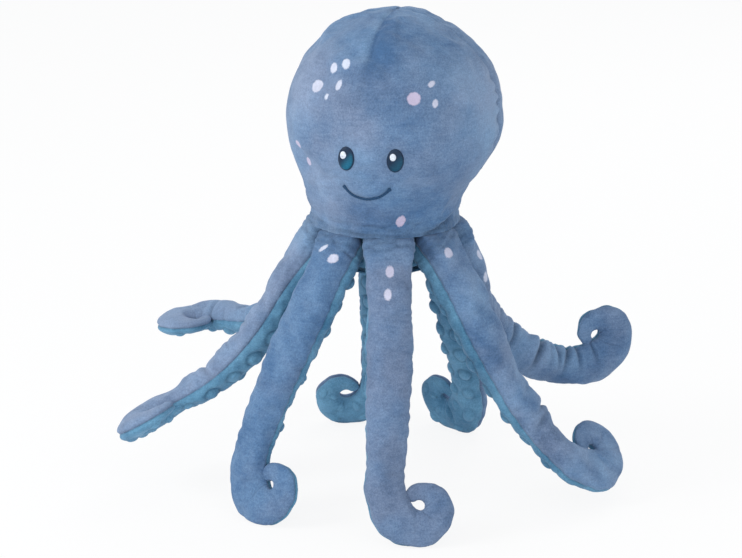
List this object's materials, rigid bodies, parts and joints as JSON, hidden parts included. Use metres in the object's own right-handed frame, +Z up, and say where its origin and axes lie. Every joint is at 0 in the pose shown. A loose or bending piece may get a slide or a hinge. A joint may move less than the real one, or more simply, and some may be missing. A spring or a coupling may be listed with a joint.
{
  "type": "plush octopus night light",
  "caption": "Stuffed octopus night light with a bulb-shaped head, embroidered face, curled padded-sucker arms and a battery light in a pocket under the head.",
  "frame": {"origin": "centre of the bounding box on the floor it stands on, under the arms", "axes": "+Z up; the face looks along -Y; the arms are numbered anticlockwise seen from above, starting with the one just right of the face"},
  "size_m": [0.43, 0.2994, 0.4097],
  "materials": {
    "plush_blue": "short grey-blue pile with pale printed spots",
    "stuffing": "loose polyester fibre",
    "thread_navy": "satin stitch, slightly shiny",
    "thread_white": "satin stitch, slightly shiny",
    "plush_teal": "short teal pile",
    "lining": "smooth woven lining",
    "fastening_tape": "hook and loop tape",
    "case_plastic": "fine moulded texture",
    "steel": "plain",
    "diffuser_plastic": "milky, lets light through",
    "board_laminate": "satin",
    "led_resin": "clear and warm",
    "cell_wrap": "plain shrink sleeve",
    "button_plastic": "smooth"
  },
  "bodies": {
    "head": {"head_cover": "plush_blue", "head_stuffing": "stuffing", "eye_left": "thread_navy", "eye_glint_left": "thread_white", "eye_right": "thread_navy", "eye_glint_right": "thread_white", "mouth": "thread_navy", "underbody": "plush_teal", "pocket_lining": "lining", "loop_strip": "fastening_tape", "battery_case": "case_plastic", "battery_door": "case_plastic", "door_screw": "steel", "diffuser": "diffuser_plastic", "circuit_board": "board_laminate", "led_1": "led_resin", "led_2": "led_resin", "led_3": "led_resin", "battery_1": "cell_wrap", "battery_2": "cell_wrap", "battery_3": "cell_wrap", "contact_front_pair": "steel", "contact_front_single": "steel", "contact_back_single": "steel", "contact_back_pair": "steel", "switch_body": "case_plastic", "button_spring": "steel"},
    "arm_1": {"arm_1_back": "plush_blue", "arm_1_suckers": "plush_teal"},
    "arm_2": {"arm_2_back": "plush_blue", "arm_2_suckers": "plush_teal"},
    "arm_3": {"arm_3_back": "plush_blue", "arm_3_suckers": "plush_teal"},
    "arm_4": {"arm_4_back": "plush_blue", "arm_4_suckers": "plush_teal"},
    "arm_5": {"arm_5_back": "plush_blue", "arm_5_suckers": "plush_teal"},
    "arm_6": {"arm_6_back": "plush_blue", "arm_6_suckers": "plush_teal"},
    "arm_7": {"arm_7_back": "plush_blue", "arm_7_suckers": "plush_teal"},
    "arm_8": {"arm_8_back": "plush_blue", "arm_8_suckers": "plush_teal"},
    "pocket_flap": {"pocket_flap": "plush_teal", "hook_strip": "fastening_tape"},
    "push_button": {"push_button": "button_plastic"}
  },
  "joints": [
    {"name": "arm_1_lift", "type": "hinge", "parent": "head", "child": "arm_1", "pos_m": [0.02827, -0.05203, 0.21565], "axis": [-0.9511, -0.309, 0], "range_deg": [-9, 44]},
    {"name": "arm_2_lift", "type": "hinge", "parent": "head", "child": "arm_2", "pos_m": [0.05853, -0.02618, 0.21565], "axis": [-0.2079, -0.9781, 0], "range_deg": [-9, 44]},
    {"name": "arm_3_lift", "type": "hinge", "parent": "head", "child": "arm_3", "pos_m": [0.06166, 0.0135, 0.21565], "axis": [0.6157, -0.788, 0], "range_deg": [-9, 44]},
    {"name": "arm_4_lift", "type": "hinge", "parent": "head", "child": "arm_4", "pos_m": [0.03581, 0.04376, 0.21565], "axis": [0.866, -0.5, 0], "range_deg": [-6, 44]},
    {"name": "arm_5_lift", "type": "hinge", "parent": "head", "child": "arm_5", "pos_m": [-0.00387, 0.04689, 0.21565], "axis": [0.9511, 0.309, 0], "range_deg": [-6, 44]},
    {"name": "arm_6_lift", "type": "hinge", "parent": "head", "child": "arm_6", "pos_m": [-0.03413, 0.02104, 0.21565], "axis": [0.454, 0.891, 0], "range_deg": [-9, 44]},
    {"name": "arm_7_lift", "type": "hinge", "parent": "head", "child": "arm_7", "pos_m": [-0.03725, -0.01864, 0.21565], "axis": [-0.309, 0.9511, 0], "range_deg": [-9, 44]},
    {"name": "arm_8_lift", "type": "hinge", "parent": "head", "child": "arm_8", "pos_m": [-0.01141, -0.0489, 0.21565], "axis": [-0.7986, 0.6018, 0], "range_deg": [-9, 44]},
    {"name": "pocket_flap_hinge", "type": "hinge", "parent": "head", "child": "pocket_flap", "pos_m": [0.01494, 0.03224, 0.1976], "axis": [0.9969, -0.0785, 0], "range_deg": [0, 90]},
    {"name": "button_press", "type": "slide", "parent": "head", "child": "push_button", "axis": [0, 0, 1], "range_m": [0, 0.002], "stiffness_N_per_m": 800, "deforming": ["button_spring"]}
  ]
}
